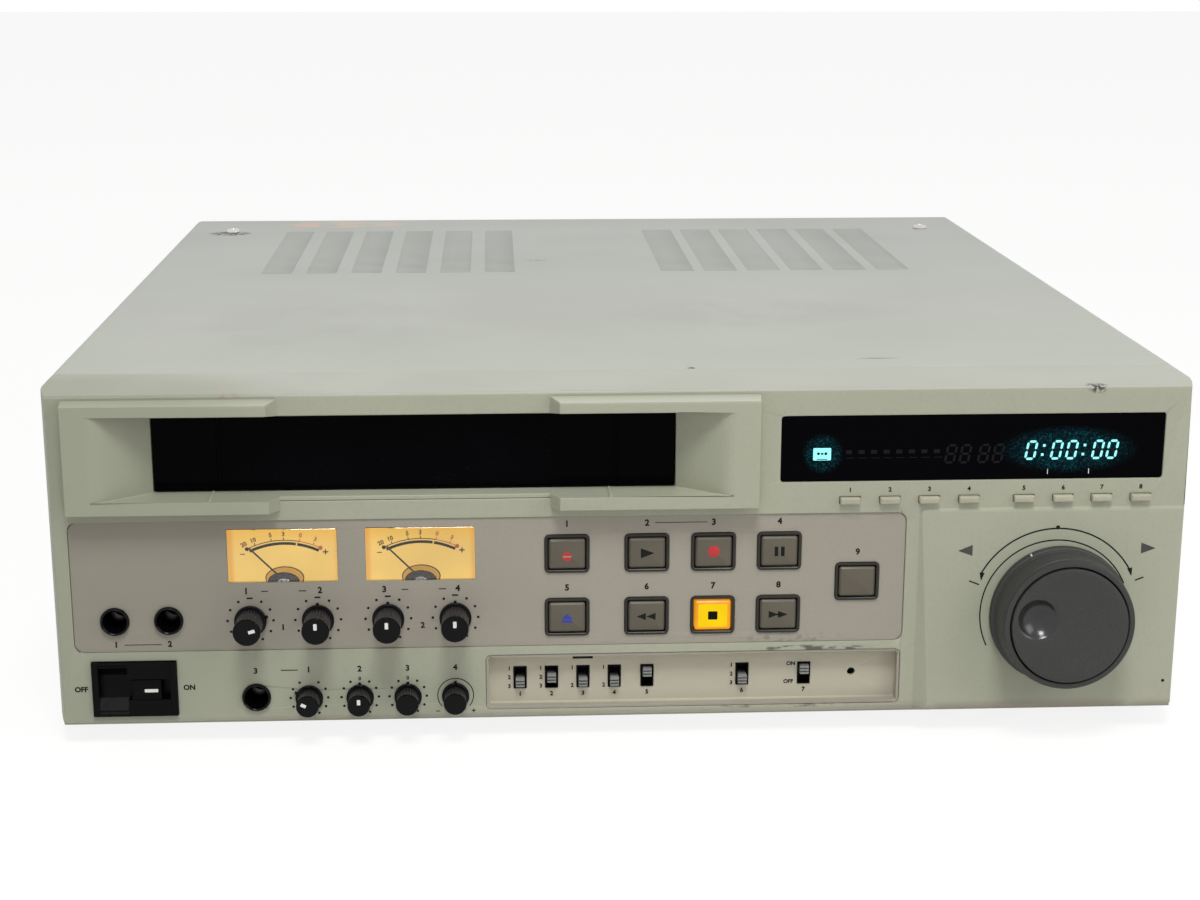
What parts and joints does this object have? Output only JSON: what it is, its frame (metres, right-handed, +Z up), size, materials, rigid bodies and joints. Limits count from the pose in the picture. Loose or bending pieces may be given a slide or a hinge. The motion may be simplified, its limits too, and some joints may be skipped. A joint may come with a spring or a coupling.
{
  "type": "vhs video cassette recorder",
  "caption": "Desktop editing video cassette recorder with a front cassette flap, sound meters, level knobs, push buttons, slide switches and a jog and shuttle dial.",
  "frame": {"origin": "centre of the bounding box in X and Y, on the plane that the feet stand on", "axes": "+X to the right seen from the front, +Y from the front panel to the rear, +Z up"},
  "size_m": [0.4278, 0.4652, 0.1339],
  "materials": {
    "cover_paint": "satin",
    "zinc_plate": "satin",
    "panel_plastic": "matte",
    "plate_plastic": "matte",
    "dark_acrylic": "gloss",
    "clear_lens": "gloss",
    "black_plastic": "satin",
    "meter_glow": "lit from behind",
    "display_glow": "lit",
    "print_dark": "ink",
    "nickel": "gloss",
    "foot_rubber": "matte",
    "deck_aluminium": "satin",
    "shaft_steel": "gloss",
    "board_green": "satin",
    "flap_gloss": "gloss",
    "button_plastic": "matte",
    "stop_amber": "lit from behind",
    "key_plastic": "matte",
    "knob_black": "satin",
    "switch_plastic": "matte",
    "dial_plastic": "matte",
    "needle_black": "satin"
  },
  "bodies": {
    "case": {"top_cover": "cover_paint", "base_chassis": "zinc_plate", "rear_panel": "zinc_plate", "front_panel": "panel_plastic", "cassette_bezel": "panel_plastic", "control_plates": "plate_plastic", "clear_windows": "dark_acrylic", "switch_frames": "black_plastic", "level_meters": "meter_glow", "panel_jacks": "black_plastic", "rear_terminals": "nickel", "feet": "foot_rubber", "case_screws": "nickel", "transport_deck": "deck_aluminium", "power_supply": "zinc_plate", "circuit_boards": "board_green"},
    "cassette_flap": {"cassette_flap": "flap_gloss"},
    "lift_carriage": {"lift_carriage": "zinc_plate"},
    "cassette_holder": {"cassette_holder": "zinc_plate"},
    "audio_dub_button": {"audio_dub_button": "button_plastic"},
    "play_button": {"play_button": "button_plastic"},
    "record_button": {"record_button": "button_plastic"},
    "pause_button": {"pause_button": "button_plastic"},
    "eject_button": {"eject_button": "button_plastic"},
    "rewind_button": {"rewind_button": "button_plastic"},
    "stop_button": {"stop_button": "stop_amber"},
    "fast_forward_button": {"fast_forward_button": "button_plastic"},
    "digital_button": {"digital_button": "button_plastic"},
    "display_key_1": {"display_key_1": "key_plastic"},
    "display_key_2": {"display_key_2": "key_plastic"},
    "display_key_3": {"display_key_3": "key_plastic"},
    "display_key_4": {"display_key_4": "key_plastic"},
    "display_key_5": {"display_key_5": "key_plastic"},
    "display_key_6": {"display_key_6": "key_plastic"},
    "display_key_7": {"display_key_7": "key_plastic"},
    "display_key_8": {"display_key_8": "key_plastic"},
    "level_knob_1": {"level_knob_1": "knob_black"},
    "level_knob_2": {"level_knob_2": "knob_black"},
    "level_knob_3": {"level_knob_3": "knob_black"},
    "level_knob_4": {"level_knob_4": "knob_black"},
    "trim_knob_1": {"trim_knob_1": "knob_black"},
    "trim_knob_2": {"trim_knob_2": "knob_black"},
    "trim_knob_3": {"trim_knob_3": "knob_black"},
    "trim_knob_4": {"trim_knob_4": "knob_black"},
    "power_slider": {"power_slider": "black_plastic"},
    "switch_knob_1": {"switch_knob_1": "switch_plastic"},
    "switch_knob_2": {"switch_knob_2": "switch_plastic"},
    "switch_knob_3": {"switch_knob_3": "switch_plastic"},
    "switch_knob_4": {"switch_knob_4": "switch_plastic"},
    "switch_knob_5": {"switch_knob_5": "switch_plastic"},
    "switch_knob_6": {"switch_knob_6": "switch_plastic"},
    "switch_knob_7": {"switch_knob_7": "switch_plastic"},
    "shuttle_ring": {"shuttle_ring": "dial_plastic"},
    "jog_dial": {"jog_dial": "dial_plastic"},
    "meter_needle_1": {"meter_needle_1": "needle_black"},
    "meter_needle_2": {"meter_needle_2": "needle_black"},
    "head_drum": {"head_drum": "deck_aluminium"},
    "capstan": {"capstan": "shaft_steel"},
    "supply_reel": {"supply_reel": "black_plastic"},
    "takeup_reel": {"takeup_reel": "black_plastic"}
  },
  "joints": [
    {"name": "flap_hinge", "type": "hinge", "parent": "case", "child": "cassette_flap", "pos_m": [-0.07575, -0.20386, 0.1234], "axis": [1, 0, 0], "range_deg": [0, 90], "stiffness_Nm_per_rad": 0.02, "springref_deg": -5.73},
    {"name": "carriage_slide", "type": "slide", "parent": "case", "child": "lift_carriage", "axis": [0, 1, 0], "range_m": [0, 0.022]},
    {"name": "holder_drop", "type": "slide", "parent": "lift_carriage", "child": "cassette_holder", "axis": [0, 0, -1], "range_m": [0, 0.026]},
    {"name": "audio_dub_press", "type": "slide", "parent": "case", "child": "audio_dub_button", "axis": [0, 1, 0], "range_m": [0, 0.0012], "stiffness_N_per_m": 400},
    {"name": "play_press", "type": "slide", "parent": "case", "child": "play_button", "axis": [0, 1, 0], "range_m": [0, 0.0012], "stiffness_N_per_m": 400},
    {"name": "record_press", "type": "slide", "parent": "case", "child": "record_button", "axis": [0, 1, 0], "range_m": [0, 0.0012], "stiffness_N_per_m": 400},
    {"name": "pause_press", "type": "slide", "parent": "case", "child": "pause_button", "axis": [0, 1, 0], "range_m": [0, 0.0012], "stiffness_N_per_m": 400},
    {"name": "eject_press", "type": "slide", "parent": "case", "child": "eject_button", "axis": [0, 1, 0], "range_m": [0, 0.0012], "stiffness_N_per_m": 400},
    {"name": "rewind_press", "type": "slide", "parent": "case", "child": "rewind_button", "axis": [0, 1, 0], "range_m": [0, 0.0012], "stiffness_N_per_m": 400},
    {"name": "stop_press", "type": "slide", "parent": "case", "child": "stop_button", "axis": [0, 1, 0], "range_m": [0, 0.0012], "stiffness_N_per_m": 400},
    {"name": "fast_forward_press", "type": "slide", "parent": "case", "child": "fast_forward_button", "axis": [0, 1, 0], "range_m": [0, 0.0012], "stiffness_N_per_m": 400},
    {"name": "digital_press", "type": "slide", "parent": "case", "child": "digital_button", "axis": [0, 1, 0], "range_m": [0, 0.0012], "stiffness_N_per_m": 400},
    {"name": "key_1_press", "type": "slide", "parent": "case", "child": "display_key_1", "axis": [0, 1, 0], "range_m": [0, 0.0007], "stiffness_N_per_m": 400},
    {"name": "key_2_press", "type": "slide", "parent": "case", "child": "display_key_2", "axis": [0, 1, 0], "range_m": [0, 0.0007], "stiffness_N_per_m": 400},
    {"name": "key_3_press", "type": "slide", "parent": "case", "child": "display_key_3", "axis": [0, 1, 0], "range_m": [0, 0.0007], "stiffness_N_per_m": 400},
    {"name": "key_4_press", "type": "slide", "parent": "case", "child": "display_key_4", "axis": [0, 1, 0], "range_m": [0, 0.0007], "stiffness_N_per_m": 400},
    {"name": "key_5_press", "type": "slide", "parent": "case", "child": "display_key_5", "axis": [0, 1, 0], "range_m": [0, 0.0007], "stiffness_N_per_m": 400},
    {"name": "key_6_press", "type": "slide", "parent": "case", "child": "display_key_6", "axis": [0, 1, 0], "range_m": [0, 0.0007], "stiffness_N_per_m": 400},
    {"name": "key_7_press", "type": "slide", "parent": "case", "child": "display_key_7", "axis": [0, 1, 0], "range_m": [0, 0.0007], "stiffness_N_per_m": 400},
    {"name": "key_8_press", "type": "slide", "parent": "case", "child": "display_key_8", "axis": [0, 1, 0], "range_m": [0, 0.0007], "stiffness_N_per_m": 400},
    {"name": "level_knob_1_turn", "type": "hinge", "parent": "case", "child": "level_knob_1", "pos_m": [-0.1366, -0.21235, 0.0474], "axis": [0, 1, 0], "range_deg": [-225, 75]},
    {"name": "level_knob_2_turn", "type": "hinge", "parent": "case", "child": "level_knob_2", "pos_m": [-0.1121, -0.21235, 0.0474], "axis": [0, 1, 0], "range_deg": [-150, 150]},
    {"name": "level_knob_3_turn", "type": "hinge", "parent": "case", "child": "level_knob_3", "pos_m": [-0.0866, -0.21235, 0.0474], "axis": [0, 1, 0], "range_deg": [-150, 150]},
    {"name": "level_knob_4_turn", "type": "hinge", "parent": "case", "child": "level_knob_4", "pos_m": [-0.0621, -0.21235, 0.0475], "axis": [0, 1, 0], "range_deg": [-150, 150]},
    {"name": "trim_knob_1_turn", "type": "hinge", "parent": "case", "child": "trim_knob_1", "pos_m": [-0.1162, -0.21235, 0.0173], "axis": [0, 1, 0], "range_deg": [-85, 215]},
    {"name": "trim_knob_2_turn", "type": "hinge", "parent": "case", "child": "trim_knob_2", "pos_m": [-0.0976, -0.21235, 0.0173], "axis": [0, 1, 0], "range_deg": [-150, 150]},
    {"name": "trim_knob_3_turn", "type": "hinge", "parent": "case", "child": "trim_knob_3", "pos_m": [-0.08, -0.21235, 0.0173], "axis": [0, 1, 0], "range_deg": [-150, 150]},
    {"name": "trim_knob_4_turn", "type": "hinge", "parent": "case", "child": "trim_knob_4", "pos_m": [-0.0625, -0.21235, 0.0173], "axis": [0, 1, 0], "range_deg": [-150, 150]},
    {"name": "power_slide", "type": "slide", "parent": "case", "child": "power_slider", "axis": [1, 0, 0], "range_m": [-0.0096, 0]},
    {"name": "switch_1_slide", "type": "slide", "parent": "case", "child": "switch_knob_1", "axis": [0, 0, 1], "range_m": [-0.00017, 0.00332]},
    {"name": "switch_2_slide", "type": "slide", "parent": "case", "child": "switch_knob_2", "axis": [0, 0, 1], "range_m": [-0.00175, 0.00175]},
    {"name": "switch_3_slide", "type": "slide", "parent": "case", "child": "switch_knob_3", "axis": [0, 0, 1], "range_m": [0, 0.0035]},
    {"name": "switch_4_slide", "type": "slide", "parent": "case", "child": "switch_knob_4", "axis": [0, 0, 1], "range_m": [-0.00009, 0.00341]},
    {"name": "switch_5_slide", "type": "slide", "parent": "case", "child": "switch_knob_5", "axis": [0, 0, 1], "range_m": [-0.0035, 0]},
    {"name": "switch_6_slide", "type": "slide", "parent": "case", "child": "switch_knob_6", "axis": [0, 0, 1], "range_m": [-0.00017, 0.00332]},
    {"name": "switch_7_slide", "type": "slide", "parent": "case", "child": "switch_knob_7", "axis": [0, 0, 1], "range_m": [-0.0035, 0]},
    {"name": "shuttle_turn", "type": "hinge", "parent": "case", "child": "shuttle_ring", "pos_m": [0.1607, -0.21458, 0.0464], "axis": [0, 0.9991, -0.0419], "range_deg": [-75, 75], "stiffness_Nm_per_rad": 0.05},
    {"name": "jog_turn", "type": "hinge", "parent": "case", "child": "jog_dial", "pos_m": [0.1607, -0.21458, 0.0464], "axis": [0, 0.9991, -0.0419], "continuous": true},
    {"name": "needle_1_swing", "type": "hinge", "parent": "case", "child": "meter_needle_1", "pos_m": [-0.12425, -0.20836, 0.0616], "axis": [0, 1, 0], "range_deg": [0, 89], "stiffness_Nm_per_rad": 0.0002, "springref_deg": -5.73},
    {"name": "needle_2_swing", "type": "hinge", "parent": "case", "child": "meter_needle_2", "pos_m": [-0.0745, -0.20836, 0.0616], "axis": [0, 1, 0], "range_deg": [0, 89], "stiffness_Nm_per_rad": 0.0002, "springref_deg": -5.73},
    {"name": "drum_spin", "type": "hinge", "parent": "case", "child": "head_drum", "pos_m": [-0.07175, -0.00936, 0.0585], "axis": [0, -0.1045, 0.9945], "continuous": true},
    {"name": "capstan_spin", "type": "hinge", "parent": "case", "child": "capstan", "pos_m": [-0.02575, -0.03735, 0.0535], "axis": [0, 0, 1], "continuous": true},
    {"name": "supply_spin", "type": "hinge", "parent": "case", "child": "supply_reel", "pos_m": [-0.12175, -0.10885, 0.0535], "axis": [0, 0, 1], "continuous": true},
    {"name": "takeup_spin", "type": "hinge", "parent": "case", "child": "takeup_reel", "pos_m": [-0.02975, -0.10885, 0.0535], "axis": [0, 0, 1], "continuous": true}
  ]
}
